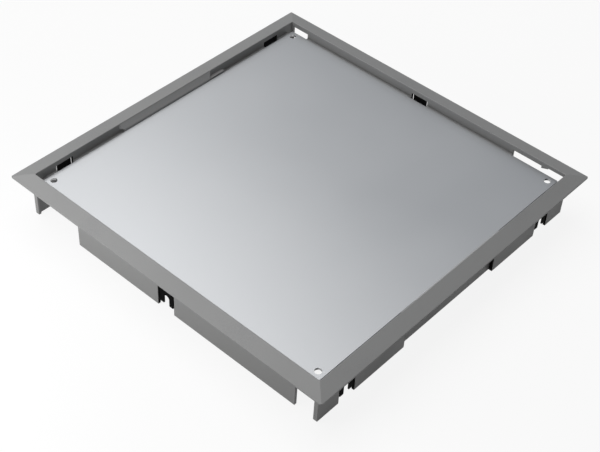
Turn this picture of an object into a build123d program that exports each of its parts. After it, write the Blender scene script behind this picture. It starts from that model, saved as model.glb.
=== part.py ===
from build123d import *
import os

# Square blank cover for a floor box: a one-piece moulded frame with a sloping rim, a skirt that
# drops into the opening in the floor, and a sheet metal plate that lies sunk inside the frame.
# Six black clips hang in windows of the skirt. Millimetres, +Z up, origin under the middle, at
# the foot of the skirt. The front is -Y. Half a turn about Z leaves the object as it was.

# Overall size
cutout_side = 244.0  # square opening in the floor
cutout_clearance = 0.25  # air on each side between the skirt and that opening
rim_overhang = 9.25  # how far the rim covers the floor outside the skirt
frame_height = 33.2  # foot of the skirt to the top of the lip
wall = 1.8  # thickness of the skirt, the lip and the ledge

# Rim section
rim_fall = 2.1  # drop of the sloping top from the lip to the outer edge
rim_edge = 0.8  # thickness left at the outer edge
lip_round = 0.45  # rounding along the inner edge of the lip
rim_round = 0.25  # rounding along the outer edge of the rim
rim_corner_round = 1.5  # rounding of the rim's four corners, seen from above
ring_depth = 3.6  # closed ring below the lip top, above all windows and gaps

# Cover plate and the ledge that carries it
plate_thickness = 1.5
plate_sink = 5.5  # lip top down to the plate, the recess for the floor covering
plate_gap = 2.8  # air between the plate edge and the lip
plate_corner_round = 0.8
plate_edge_round = 0.35
hole_diameter = 4.6
hole_inset = 5.0  # hole centre to the two nearest plate edges
ledge_support = 2.6  # how far the ledge reaches under the plate

# Gussets under the ledge
gusset_thickness = 1.5
gusset_height = 11.0
gusset_pitch = 24.0  # most that neighbouring gussets stand apart
gusset_margin = 5.0  # free wall between a gusset and a window, step, gap or corner

# Gaps in the front and back walls beside the corners, and the side walls' free ends there
long_gap = 42.5
short_gap = 17.2
end_bead = 1.2  # extra thickness along the free ends of the side walls
nib_inset = 17.35  # skirt corner to the middle of the small tooth in a long gap
nib_width = 5.2
nib_depth = 1.8

# Middle of the two side walls, set inwards to guide the plate
step_length = 89.0  # length of the hollow that this leaves outside
step_plate_clearance = 0.3  # air between the plate edge and the middle wall
step_shoulder = 4.4  # shoulder of the step below the lip top

# Clips and their windows
clip_width = 11.2
clip_thickness = 0.8
clip_recess = 0.45  # face of a clip behind the outer face of the skirt
clip_lift = 4.0  # foot of a clip above the foot of the skirt
clip_slot_width = 4.4
clip_slot_height = 7.6
clip_foot_round = 0.5
clip_seat = 1.2  # how far the head of a clip reaches up into the rim
seat_clearance = 0.05  # air round that head
window_side_gap = 1.4  # air on each side of a clip
side_window_inset = 25.05  # skirt corner to the middle of a window in a side wall

# Places that follow from these sizes
half_skirt = cutout_side / 2 - cutout_clearance
half_lip = half_skirt - wall
half_plate = half_lip - plate_gap
half_ledge = half_plate - ledge_support
rim_top = frame_height - rim_fall
rim_bottom = rim_top - rim_edge
ring_bottom = frame_height - ring_depth
plate_bottom = frame_height - plate_sink - plate_thickness
ledge_bottom = plate_bottom - wall
step_inner = half_plate + step_plate_clearance
step_outer = step_inner + wall
shoulder_top = frame_height - step_shoulder
shoulder_bottom = shoulder_top - wall
half_step = step_length / 2 + wall
half_window = clip_width / 2 + window_side_gap
side_window_offset = half_skirt - side_window_inset
clip_outer = half_skirt - clip_recess
clip_inner = clip_outer - clip_thickness
clip_top = rim_bottom + clip_seat
nib_start = nib_inset - nib_width / 2 - half_skirt
nib_end = nib_start + nib_width
wall_start = long_gap - half_skirt
wall_end = half_skirt - short_gap

# Every side is modelled as the front, where -Y points out, and then turned by quarter turns
front, right, back, left = 0, 1, 2, 3
clip_spots = {
    "front_clip": (front, 0.0),
    "right_front_clip": (right, -side_window_offset),
    "right_rear_clip": (right, side_window_offset),
    "rear_clip": (back, 0.0),
    "left_rear_clip": (left, -side_window_offset),
    "left_front_clip": (left, side_window_offset),
}


def turned(side, piece):
    """Turn a piece made for the front to its own side of the square."""
    return Rot(0, 0, 90 * side) * piece


def slab(along, across, height):
    """Straight-sided block: (start, end) along the wall, (outer, inner) from the middle, (low, high)."""
    outline = Rectangle(along[1] - along[0], across[0] - across[1], align=(Align.MIN, Align.MIN))
    return extrude(Pos(along[0], -across[0], height[0]) * outline, height[1] - height[0])


def across_plane(place):
    """Plane across the front wall: its X runs inwards, its Y runs up."""
    return Plane(origin=(place, 0, 0), x_dir=(0, 1, 0), z_dir=(1, 0, 0))


def wall_plane(place, depth):
    """Plane along the front wall at a depth from the middle: its X runs along, its Y up."""
    return Plane(origin=(place, -depth, 0), x_dir=(1, 0, 0), z_dir=(0, -1, 0))


def swept_ring():
    """Rim, lip and skirt in one section, carried round the square with mitred corners."""
    rim_reach = half_skirt + rim_overhang
    section = Polyline(
        (-half_lip, 0),
        (-half_lip, frame_height),
        (-rim_reach, rim_top),
        (-rim_reach, rim_bottom),
        (-half_skirt, rim_bottom),
        (-half_skirt, 0),
        close=True,
    )
    profile = make_face(section)
    lip_corner = profile.vertices().sort_by(Axis.Y)[-1]
    profile = fillet(lip_corner, min(lip_round, wall / 3))
    rim_corner = profile.vertices().sort_by_distance((-rim_reach, rim_top))[0]
    profile = fillet(rim_corner, min(rim_round, rim_edge / 3))
    corners = [(1, -1), (1, 1), (-1, 1), (-1, -1)]
    route = [(0, -half_skirt)] + [(x * half_skirt, y * half_skirt) for x, y in corners]
    path = Polyline(*route, close=True)
    ring = sweep(across_plane(0) * profile, path=path, transition=Transition.RIGHT)
    outline = RectangleRounded(2 * rim_reach, 2 * rim_reach, rim_corner_round)
    return ring & extrude(outline, frame_height)


def ledge():
    """Flat ledge round the inside of the skirt, on which the plate lies."""
    outline = Rectangle(2 * half_lip, 2 * half_lip) - Rectangle(2 * half_ledge, 2 * half_ledge)
    return extrude(Pos(0, 0, ledge_bottom) * outline, wall)


def gusset(place, root):
    """Triangular web under the ledge; root is the wall face that it stands on."""
    outline = make_face(
        Polyline(
            (-root, ledge_bottom),
            (-half_ledge, ledge_bottom),
            (-root, ledge_bottom - gusset_height),
            close=True,
        )
    )
    return extrude(across_plane(place - gusset_thickness / 2) * outline, gusset_thickness)


def gussets(stretch, root=half_lip):
    """Evenly spaced gussets along a stretch of wall, or one in the middle of a short stretch."""
    first, last = stretch[0] + gusset_margin, stretch[1] - gusset_margin
    if last - first < gusset_pitch / 2:
        return [gusset((first + last) / 2, root)]
    bays = -int((first - last) // gusset_pitch)
    return [gusset(first + (last - first) * bay / bays, root) for bay in range(bays + 1)]


def end_beads():
    """Thicker free ends of a side wall, upright beside the corner gaps, up to the rim."""
    across, height = (half_lip, half_lip - end_bead), (0, rim_bottom)
    return slab((-half_skirt, -half_lip), across, height) + slab((half_lip, half_skirt), across, height)


def nib():
    """Small tooth under the ring in a long gap, upright on the side away from the corner."""
    outline = Polyline(
        (nib_start, ring_bottom),
        (nib_end, ring_bottom - nib_depth),
        (nib_end, ring_bottom),
        close=True,
    )
    return extrude(wall_plane(0, half_lip) * make_face(outline), wall)


def open_corners(body, side):
    """Cut the long and the short gap beside the corners; the nib hangs in the long one."""
    depth, height = (half_skirt, half_ledge), (0, ring_bottom)
    for gap in ((-half_lip, wall_start), (wall_end, half_lip)):
        body -= turned(side, slab(gap, depth, height))
    body -= turned(side, slab((-half_lip, nib_start), depth, (ring_bottom, rim_bottom)))
    return body + turned(side, nib())


def set_in_middle(body, side):
    """Set the middle of a side wall inwards, under a shoulder and with closed ends."""
    hollow = (-step_length / 2, step_length / 2)
    body += turned(side, slab((-half_step, half_step), (half_lip, step_inner), (0, shoulder_top)))
    body -= turned(side, slab(hollow, (half_skirt, step_outer), (0, shoulder_bottom)))
    return body


def clip_opening(place):
    """Window in the skirt and, above it, the seat in the rim for the head of a clip."""
    along = (place - half_window, place + half_window)
    window = slab(along, (half_skirt, half_ledge), (0, ring_bottom))
    half_seat = clip_width / 2 + seat_clearance
    across = (clip_outer + seat_clearance, clip_inner - seat_clearance)
    return window + slab((place - half_seat, place + half_seat), across, (ring_bottom, clip_top))


def clip(place):
    """Flat clip: two prongs below, with an arched slot between them that is open at the foot."""
    arch_radius = clip_slot_width / 2
    half = clip_width / 2
    arch_base = clip_lift + clip_slot_height - arch_radius
    outline = Polyline(
        (-arch_radius, arch_base),
        (-arch_radius, clip_lift),
        (-half, clip_lift),
        (-half, clip_top),
        (half, clip_top),
        (half, clip_lift),
        (arch_radius, clip_lift),
        (arch_radius, arch_base),
    )
    arch = RadiusArc(outline @ 1, outline @ 0, -arch_radius)
    shape = make_face([outline, arch])
    feet = shape.vertices().group_by(Axis.Y)[0]
    shape = fillet(feet, min(clip_foot_round, (half - arch_radius) / 3))
    return extrude(wall_plane(place, clip_inner) * shape, clip_thickness)


def frame():
    """The whole moulding."""
    body = swept_ring() + ledge()
    for side in (front, back):
        body = open_corners(body, side)
        for stretch in ((wall_start, -half_window), (half_window, wall_end)):
            body += [turned(side, web) for web in gussets(stretch)]
    for side in (right, left):
        body = set_in_middle(body, side)
        body += turned(side, end_beads())
        window = (side_window_offset - half_window, side_window_offset + half_window)
        for stretch in ((half_step, window[0]), (window[1], half_lip)):
            mirrored = (-stretch[1], -stretch[0])
            body += [turned(side, web) for web in gussets(stretch) + gussets(mirrored)]
        body += [turned(side, web) for web in gussets((-half_step, half_step), root=step_inner)]
    for side, place in clip_spots.values():
        body -= turned(side, clip_opening(place))
    return body


def cover_plate():
    """Flat sheet with an eased upper edge and a screw hole near each corner."""
    side = 2 * half_plate
    outline = RectangleRounded(side, side, plate_corner_round)
    pitch = side - 2 * hole_inset
    outline -= GridLocations(pitch, pitch, 2, 2) * Circle(hole_diameter / 2)
    sheet = extrude(Pos(0, 0, plate_bottom) * outline, plate_thickness)
    upper_edge = sheet.faces().sort_by(Axis.Z)[-1].outer_wire().edges()
    return fillet(upper_edge, min(plate_edge_round, plate_thickness / 3))


pieces = {"frame": frame(), "cover_plate": cover_plate()}
for name, (side, place) in clip_spots.items():
    pieces[name] = turned(side, clip(place))

os.makedirs("parts", exist_ok=True)
for name, piece in pieces.items():
    export_step(piece, f"parts/{name}.step")
    print(name, round(piece.volume, 1), "mm3")
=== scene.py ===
import math

import bmesh
import bpy
from mathutils import Matrix, Vector


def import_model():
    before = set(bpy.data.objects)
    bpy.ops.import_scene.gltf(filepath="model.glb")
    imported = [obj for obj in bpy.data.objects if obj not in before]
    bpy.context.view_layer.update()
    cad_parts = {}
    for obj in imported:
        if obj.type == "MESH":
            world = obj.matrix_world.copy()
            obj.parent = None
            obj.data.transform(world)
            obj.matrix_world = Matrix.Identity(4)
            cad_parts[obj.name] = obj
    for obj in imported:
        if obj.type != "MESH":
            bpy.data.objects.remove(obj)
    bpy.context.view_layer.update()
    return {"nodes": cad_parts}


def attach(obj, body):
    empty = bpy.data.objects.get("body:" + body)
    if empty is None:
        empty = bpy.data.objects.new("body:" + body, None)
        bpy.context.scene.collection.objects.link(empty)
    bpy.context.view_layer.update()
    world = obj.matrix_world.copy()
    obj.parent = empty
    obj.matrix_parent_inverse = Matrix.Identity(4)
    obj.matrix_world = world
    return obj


# Blank cover of a floor box on a plain white floor. Metres, +Z up, the front is -Y. Sizes of the
# cover are in millimetres: depths from its middle, heights from the foot of its skirt.

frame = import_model()
scene = bpy.context.scene
scene.view_settings.view_transform = "Standard"

MM = 0.001
middle = Vector((0, 0, 0.02))  # what the lamps look at
nodes = frame["nodes"]
clips = [name for name in nodes if name.endswith("_clip")]

# The moulding, as far as the pieces made here follow it
wall = 1.8
skirt_face = 121.75  # outer face of the skirt
lip_face = skirt_face - wall  # inner face of the lip and of the skirt
ring_bottom = 29.6  # top of the windows
half_window = 7.0
window_offset = 96.7  # middle of a side wall to the middle of each of its windows
half_hollow = 44.5  # half the hollow outside the set-in middle of a side wall
step_inner = 117.45  # inner face of that set-in middle
step_outer = step_inner + wall
shoulder_top = 28.8  # shoulder from the lip down to the set-in middle
shoulder_bottom = shoulder_top - wall
plate_edge = 117.15
plate_top = 27.7

# How the pieces made here lie in it
skin = 0.02  # how far a face lies behind or before a face of the moulding, so that no two coincide
air = 0.05  # how far a piece stays short of an edge or clear of the plate

# Walls, in quarter turns from the front, anticlockwise as seen from above
front, right, back, left = 0, 1, 2, 3

# Guides on the set-in middles
guide_top = 32.6  # where the slope starts on the lip
guide_ends = (-49.5, 35.0)  # ends on the lip of the left wall, from its middle towards the back
guide_slant = 1.03  # how far an end draws in for each millimetre that the slope comes inwards
guide_foot = 0.1  # plate edge to the foot of the slope, seen from above

# Painted shade: thin black sheets on the end faces of the windows and hollows, where these faces lie
# in shade
shade_sheet = 0.3
shade_sheet_setback = 0.03  # behind the outer face of the skirt
shade_sheet_round = 0.06

# Most values of a noise texture lie in this range
noise_low, noise_high = 0.3, 0.7


def new_material(name):
    """Empty node material; gives the material, its nodes and its link function."""
    material = bpy.data.materials.new(name)
    material.use_nodes = True
    tree = material.node_tree
    tree.nodes.clear()
    return material, tree.nodes, tree.links.new


def principled(parts, link, colour, roughness, metallic=0.0):
    """Principled shader joined to a new material output."""
    shader = parts.new("ShaderNodeBsdfPrincipled")
    shader.inputs["Base Color"].default_value = (*colour, 1)
    shader.inputs["Roughness"].default_value = roughness
    shader.inputs["Metallic"].default_value = metallic
    output = parts.new("ShaderNodeOutputMaterial")
    link(shader.outputs["BSDF"], output.inputs["Surface"])
    return shader


def noise(parts, link, source, scale, detail, stretch=(1, 1, 1)):
    """Noise in object space; scale is in lumps per metre."""
    mapping = parts.new("ShaderNodeMapping")
    mapping.inputs["Scale"].default_value = stretch
    link(source.outputs["Object"], mapping.inputs["Vector"])
    texture = parts.new("ShaderNodeTexNoise")
    texture.inputs["Scale"].default_value = scale
    texture.inputs["Detail"].default_value = detail
    link(mapping.outputs["Vector"], texture.inputs["Vector"])
    return texture


def spread(parts, link, value, low, high):
    """Carry a noise value into a range."""
    ramp = parts.new("ShaderNodeMapRange")
    ramp.inputs["From Min"].default_value = noise_low
    ramp.inputs["From Max"].default_value = noise_high
    ramp.inputs["To Min"].default_value = low
    ramp.inputs["To Max"].default_value = high
    link(value, ramp.inputs["Value"])
    return ramp.outputs["Result"]


def tint(parts, link, factor, dark, light):
    """Colour between two greys."""
    mix = parts.new("ShaderNodeMix")
    mix.data_type = "RGBA"
    first, second, result = 6, 7, 2  # the sockets that this node uses for colours
    mix.inputs[first].default_value = (*dark, 1)
    mix.inputs[second].default_value = (*light, 1)
    link(factor, mix.inputs["Factor"])
    return mix.outputs[result]


def bump(parts, link, height, strength, distance):
    """Fine relief; distance is its full height in millimetres."""
    relief = parts.new("ShaderNodeBump")
    relief.inputs["Strength"].default_value = strength
    relief.inputs["Distance"].default_value = distance * MM
    link(height, relief.inputs["Height"])
    return relief


def grey_plastic(name, dark, light):
    """Grey moulded plastic with a fine spark-eroded texture and softened edges."""
    speck_share = 0.5
    edge_softness = 0.25
    material, parts, link = new_material(name)
    shader = principled(parts, link, light, roughness=0.5)
    place = parts.new("ShaderNodeTexCoord")
    cloud = noise(parts, link, place, scale=25, detail=3)
    speck = noise(parts, link, place, scale=1400, detail=1)
    both = parts.new("ShaderNodeMath")
    both.operation = "MULTIPLY_ADD"
    link(speck.outputs["Fac"], both.inputs[0])
    both.inputs[1].default_value = speck_share
    link(cloud.outputs["Fac"], both.inputs[2])
    shade = spread(parts, link, both.outputs["Value"], low=0.0, high=1.0)
    link(tint(parts, link, shade, dark, light), shader.inputs["Base Color"])
    roughness = spread(parts, link, cloud.outputs["Fac"], low=0.46, high=0.56)
    link(roughness, shader.inputs["Roughness"])
    bevel = parts.new("ShaderNodeBevel")
    bevel.samples = 6
    bevel.inputs["Radius"].default_value = edge_softness * MM
    relief = bump(parts, link, speck.outputs["Fac"], strength=0.35, distance=0.05)
    link(bevel.outputs["Normal"], relief.inputs["Normal"])
    link(relief.outputs["Normal"], shader.inputs["Normal"])
    return material


def plate_metal():
    """Galvanised sheet: even satin metal with a faint cloudy bloom and fine rolling grain."""
    dark, light = (0.41, 0.414, 0.419), (0.43, 0.433, 0.437)
    material, parts, link = new_material("plate_metal")
    shader = principled(parts, link, (0.42, 0.423, 0.428), roughness=0.4, metallic=1.0)
    place = parts.new("ShaderNodeTexCoord")
    cloud = noise(parts, link, place, scale=9, detail=2)
    grain = noise(parts, link, place, scale=700, detail=2, stretch=(1, 0.04, 1))
    shade = spread(parts, link, cloud.outputs["Fac"], low=0.0, high=1.0)
    link(tint(parts, link, shade, dark, light), shader.inputs["Base Color"])
    roughness = spread(parts, link, cloud.outputs["Fac"], low=0.38, high=0.42)
    link(roughness, shader.inputs["Roughness"])
    relief = bump(parts, link, grain.outputs["Fac"], strength=0.04, distance=0.02)
    link(relief.outputs["Normal"], shader.inputs["Normal"])
    return material


def clip_plastic():
    """Dull black plastic of the clips, also used as painted shade on the thin sheets at the window
    and hollow ends.
    """
    material, parts, link = new_material("clip_plastic")
    shader = principled(parts, link, (0.003, 0.003, 0.003), roughness=0.7)
    shader.inputs["Specular IOR Level"].default_value = 0.03
    place = parts.new("ShaderNodeTexCoord")
    cloud = noise(parts, link, place, scale=300, detail=2)
    roughness = spread(parts, link, cloud.outputs["Fac"], low=0.65, high=0.75)
    link(roughness, shader.inputs["Roughness"])
    return material


def paint(node, material):
    """Give every slot of a CAD node one material."""
    for slot in nodes[node].material_slots:
        slot.material = material


def dressed(name, build, material):
    """Turn a built mesh into a piece of the cover with its material."""
    bmesh.ops.recalc_face_normals(build, faces=build.faces)
    mesh = bpy.data.meshes.new(name)
    build.to_mesh(mesh)
    build.free()
    mesh.materials.append(material)
    piece = bpy.data.objects.new(name, mesh)
    scene.collection.objects.link(piece)
    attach(piece, "root")


def plate_guide(name, side, material):
    """Sloping face from the lip down to the plate edge, on the set-in middle of a side wall.

    side is -1 for the left wall and 1 for the right one, which is the left one after half a turn.
    """
    root = lip_face + skin
    section = [
        (root, guide_top),
        (step_inner - skin, shoulder_top + air),
        (plate_edge + guide_foot, plate_top + air),
        (step_inner + skin, plate_top + air),
        (step_inner + skin, shoulder_top - skin),
        (root, shoulder_top - skin),
    ]
    build = bmesh.new()
    rings = []
    for end, inwards in zip(guide_ends, (1, -1)):
        ring = []
        for depth, height in section:
            along = end + inwards * guide_slant * (root - depth)
            ring.append(build.verts.new((side * depth * MM, -side * along * MM, height * MM)))
        rings.append(ring)
    near, far = rings
    for i in range(len(section)):
        following = (i + 1) % len(section)
        build.faces.new((near[i], near[following], far[following], far[i]))
    build.faces.new(near)
    build.faces.new(far)
    dressed(name, build, material)


def end_faces(half, place=0.0):
    """Stretches of wall that the two painted shade sheets of an opening take; half is half its
    width.
    """
    outer, inner = half + skin, half + skin - shade_sheet
    return [(place - outer, place - inner), (place + inner, place + outer)]


def painted_shade_sheets(name, side, plates, material):
    """Thin black plates on the end faces of the openings in one wall, as painted shade.

    Each plate is given as on the front wall: along it, its depths from the middle, its heights.
    """
    build = bmesh.new()
    turn = Matrix.Rotation(math.radians(90 * side), 4, "Z")
    for along, depth, height in plates:
        spans = (along, (-depth[1], -depth[0]), height)
        centre = Vector([(low + high) / 2 * MM for low, high in spans])
        size = [(high - low) * MM for low, high in spans]
        place = turn @ Matrix.Translation(centre) @ Matrix.Diagonal((*size, 1))
        bmesh.ops.create_cube(build, size=1.0, matrix=place)
    edges = list(build.edges)
    bmesh.ops.bevel(build, geom=edges, offset=shade_sheet_round * MM, segments=2, affect="EDGES")
    dressed(name, build, material)


def all_painted_shade_sheets(material):
    """Painted shade: black sheets on the end faces of the windows of all four walls and of the
    hollows of the side walls.
    """
    front_of_shade_sheet = skirt_face - shade_sheet_setback
    window_depth = (lip_face + skin, front_of_shade_sheet)
    hollow_depth = (step_outer + skin, front_of_shade_sheet)
    window_height = (air, ring_bottom - air)
    hollow_height = (air, shoulder_bottom - air)
    middle_faces = [(along, window_depth, window_height) for along in end_faces(half_window)]
    side_faces = []
    for window in (-window_offset, window_offset):
        for along in end_faces(half_window, window):
            side_faces.append((along, window_depth, window_height))
    for along in end_faces(half_hollow):
        side_faces.append((along, hollow_depth, hollow_height))
    painted_shade_sheets("front_painted_shade", front, middle_faces, material)
    painted_shade_sheets("right_painted_shade", right, side_faces, material)
    painted_shade_sheets("back_painted_shade", back, middle_faces, material)
    painted_shade_sheets("left_painted_shade", left, side_faces, material)


def seen_directly(parts, link):
    """1 for what is seen, also in a shiny or clear surface, and 0 for light that falls on things."""
    path = parts.new("ShaderNodeLightPath")
    seen = path.outputs["Is Camera Ray"]
    for kind in ("Is Glossy Ray", "Is Transmission Ray"):
        either = parts.new("ShaderNodeMath")
        either.operation = "MAXIMUM"
        link(seen, either.inputs[0])
        link(path.outputs[kind], either.inputs[1])
        seen = either.outputs["Value"]
    return seen


def matt(parts, grey):
    """Plain diffuse shader."""
    shader = parts.new("ShaderNodeBsdfDiffuse")
    shader.inputs["Color"].default_value = (grey, grey, grey, 1)
    return shader


def floor():
    """Plain white floor that keeps a soft shadow."""
    half = 20.0  # of its side, in metres
    bounce = 0.45  # share of the light that it throws back onto the cover
    glow_share = 0.88  # how much of the white that is seen doesn't come from the lamps
    mesh = bpy.data.meshes.new("floor")
    corners = [(-half, -half, 0), (half, -half, 0), (half, half, 0), (-half, half, 0)]
    mesh.from_pydata(corners, [], [(0, 1, 2, 3)])
    piece = bpy.data.objects.new("floor", mesh)
    scene.collection.objects.link(piece)
    material, parts, link = new_material("floor")
    glow = parts.new("ShaderNodeEmission")
    glow.inputs["Strength"].default_value = 1.0
    white = parts.new("ShaderNodeMixShader")
    white.inputs["Fac"].default_value = glow_share
    link(matt(parts, 1).outputs["BSDF"], white.inputs[1])
    link(glow.outputs["Emission"], white.inputs[2])
    choice = parts.new("ShaderNodeMixShader")
    link(seen_directly(parts, link), choice.inputs["Fac"])
    link(matt(parts, bounce).outputs["BSDF"], choice.inputs[1])
    link(white.outputs["Shader"], choice.inputs[2])
    output = parts.new("ShaderNodeOutputMaterial")
    link(choice.outputs["Shader"], output.inputs["Surface"])
    mesh.materials.append(material)


def background(parts, colour, strength):
    """Even light from all round."""
    shader = parts.new("ShaderNodeBackground")
    shader.inputs["Color"].default_value = (*colour, 1)
    shader.inputs["Strength"].default_value = strength
    return shader


def world():
    """Even surroundings: a pale backdrop to look at, and a weaker light from all round."""
    sky = bpy.data.worlds.new("studio")
    sky.use_nodes = True
    parts, link = sky.node_tree.nodes, sky.node_tree.links.new
    parts.clear()
    light = background(parts, (1, 1, 1), strength=0.1)
    backdrop = background(parts, (0.94, 0.985, 1.05), strength=0.5)
    choice = parts.new("ShaderNodeMixShader")
    link(seen_directly(parts, link), choice.inputs["Fac"])
    link(light.outputs["Background"], choice.inputs[1])
    link(backdrop.outputs["Background"], choice.inputs[2])
    output = parts.new("ShaderNodeOutputWorld")
    link(choice.outputs["Shader"], output.inputs["Surface"])
    scene.world = sky


def lamp_towards(name, data, azimuth, elevation, distance):
    """Place a lamp so that it looks at the middle of the part from a direction in degrees."""
    lamp = bpy.data.objects.new(name, data)
    scene.collection.objects.link(lamp)
    flat, rise = math.radians(azimuth), math.radians(elevation)
    across = math.cos(rise)
    direction = Vector((across * math.cos(flat), across * math.sin(flat), math.sin(rise)))
    lamp.location = middle + distance * direction
    lamp.rotation_euler = direction.to_track_quat("Z", "Y").to_euler()
    lamp.visible_camera = False


def softbox(name, azimuth, elevation, distance, width, height, power):
    """Large rectangular lamp."""
    data = bpy.data.lights.new(name, "AREA")
    data.shape = "RECTANGLE"
    data.size = width
    data.size_y = height
    data.energy = power
    lamp_towards(name, data, azimuth, elevation, distance)


def globe(name, azimuth, elevation, distance, radius, power):
    """Small round lamp that shines to all sides."""
    data = bpy.data.lights.new(name, "POINT")
    data.shadow_soft_size = radius
    data.energy = power
    lamp_towards(name, data, azimuth, elevation, distance)


def camera():
    """Camera where the photograph was taken from."""
    place = Vector((0.3965, -0.4765, 0.5743))
    aim = Vector((0.03045, -0.03744, 0.0332))
    roll = math.radians(3.5)
    data = bpy.data.cameras.new("camera")
    data.sensor_width = 36.0
    data.lens = 77.26
    eye = bpy.data.objects.new("camera", data)
    scene.collection.objects.link(eye)
    level = (aim - place).to_track_quat("-Z", "Y").to_matrix().to_4x4()
    eye.matrix_world = Matrix.Translation(place) @ level @ Matrix.Rotation(roll, 4, "Z")
    scene.camera = eye


paint("frame", grey_plastic("frame_plastic", dark=(0.245, 0.245, 0.247), light=(0.3, 0.3, 0.298)))
paint("cover_plate", plate_metal())
# black for the clips, and as painted shade for the sheets at the window and hollow ends
black = clip_plastic()
for name in clips:
    paint(name, black)
# the guides get the frame's plastic painted lighter: a painted highlight for the light that falls on
# them
painted_light_plastic = grey_plastic("guide_plastic_painted_lighter", dark=(0.32, 0.32, 0.322), light=(0.38, 0.38, 0.378))
plate_guide("left_guide", -1, painted_light_plastic)
plate_guide("right_guide", 1, painted_light_plastic)
# painted shade: black sheets on the end faces of the windows and hollows
all_painted_shade_sheets(black)

floor()
world()
softbox("left_high", azimuth=180, elevation=67, distance=1.6, width=1.6, height=1.6, power=17.3)
globe("front_near", azimuth=250, elevation=15, distance=0.38, radius=0.12, power=1.9)
softbox("plate_gleam", azimuth=150, elevation=45, distance=1.6, width=0.8, height=0.8, power=0.87)
camera()
